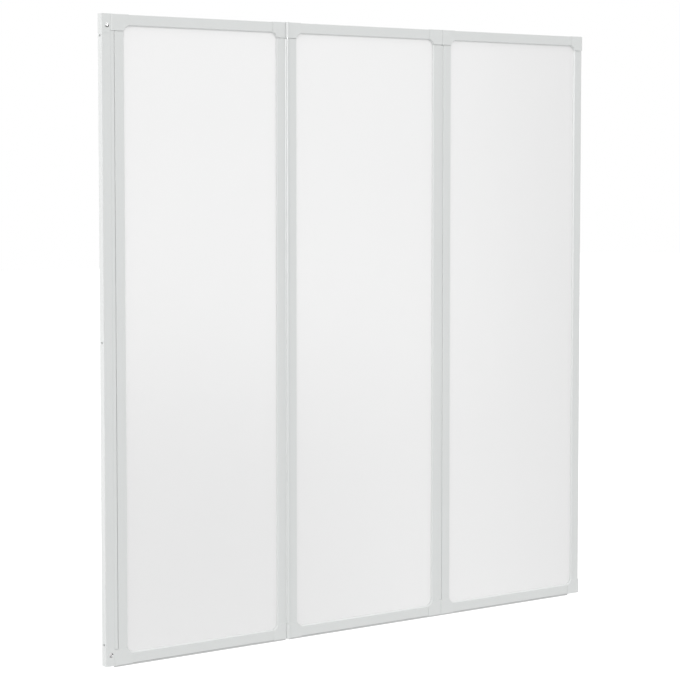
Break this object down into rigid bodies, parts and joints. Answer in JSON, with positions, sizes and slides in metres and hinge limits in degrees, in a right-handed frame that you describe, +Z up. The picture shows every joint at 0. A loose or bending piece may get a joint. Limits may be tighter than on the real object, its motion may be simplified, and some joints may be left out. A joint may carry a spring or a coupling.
{
  "type": "folding bath screen",
  "caption": "Folding screen for the rim of a bath: framed frosted panels in a row, hinged to each other and to a slim wall profile, with a soft seal along the bottom.",
  "frame": {"origin": "middle of the wall face, at mid-height and mid-thickness of the screen, on the line of the wall screws", "axes": "+X out from the wall along the opened screen, +Z up, the front that faces out of the bath is -Y"},
  "size_m": [1.1697, 0.0244, 1.2],
  "materials": {
    "powder_coat": "white powder coat, semi-matt",
    "moulded_plastic": "white moulded plastic, semi-matt",
    "frosted_pane": "frosted white, semi-gloss",
    "gasket_rubber": "light grey, matt",
    "seal_rubber": "light grey, satin",
    "steel": "plain steel"
  },
  "bodies": {
    "wall_unit": {"wall_channel": "powder_coat", "wall_post": "powder_coat", "wall_cap_top": "moulded_plastic", "wall_cap_bottom": "moulded_plastic", "wall_cap_screw_top": "steel", "wall_cap_screw_bottom": "steel"},
    "panel_1": {"panel_1_left_stile": "powder_coat", "panel_1_right_stile": "powder_coat", "panel_1_top_rail": "powder_coat", "panel_1_bottom_rail": "powder_coat", "panel_1_top_left_corner": "moulded_plastic", "panel_1_top_right_corner": "moulded_plastic", "panel_1_bottom_left_corner": "moulded_plastic", "panel_1_bottom_right_corner": "moulded_plastic", "panel_1_pane": "frosted_pane", "panel_1_gasket": "gasket_rubber", "panel_1_bottom_seal": "seal_rubber", "wall_pivot_pin_top": "steel", "wall_pivot_pin_bottom": "steel"},
    "panel_2": {"panel_2_left_stile": "powder_coat", "panel_2_right_stile": "powder_coat", "panel_2_top_rail": "powder_coat", "panel_2_bottom_rail": "powder_coat", "panel_2_top_left_corner": "moulded_plastic", "panel_2_top_right_corner": "moulded_plastic", "panel_2_bottom_left_corner": "moulded_plastic", "panel_2_bottom_right_corner": "moulded_plastic", "panel_2_pane": "frosted_pane", "panel_2_gasket": "gasket_rubber", "panel_2_bottom_seal": "seal_rubber", "hinge_1_pin_top": "steel", "hinge_1_pin_bottom": "steel"},
    "panel_3": {"panel_3_left_stile": "powder_coat", "panel_3_right_stile": "powder_coat", "panel_3_top_rail": "powder_coat", "panel_3_bottom_rail": "powder_coat", "panel_3_top_left_corner": "moulded_plastic", "panel_3_top_right_corner": "moulded_plastic", "panel_3_bottom_left_corner": "moulded_plastic", "panel_3_bottom_right_corner": "moulded_plastic", "panel_3_pane": "frosted_pane", "panel_3_gasket": "gasket_rubber", "panel_3_bottom_seal": "seal_rubber", "hinge_2_pin_top": "steel", "hinge_2_pin_bottom": "steel"}
  },
  "joints": [
    {"name": "wall_hinge", "type": "hinge", "parent": "wall_unit", "child": "panel_1", "pos_m": [0.0237, 0, 0], "axis": [0, 0, 1], "range_deg": [0, 90]},
    {"name": "hinge_1", "type": "hinge", "parent": "panel_1", "child": "panel_2", "pos_m": [0.406, -0.00865, 0], "axis": [0, 0, 1], "range_deg": [-180, 0]},
    {"name": "hinge_2", "type": "hinge", "parent": "panel_2", "child": "panel_3", "pos_m": [0.7886, 0.00865, 0], "axis": [0, 0, 1], "range_deg": [0, 180]}
  ]
}
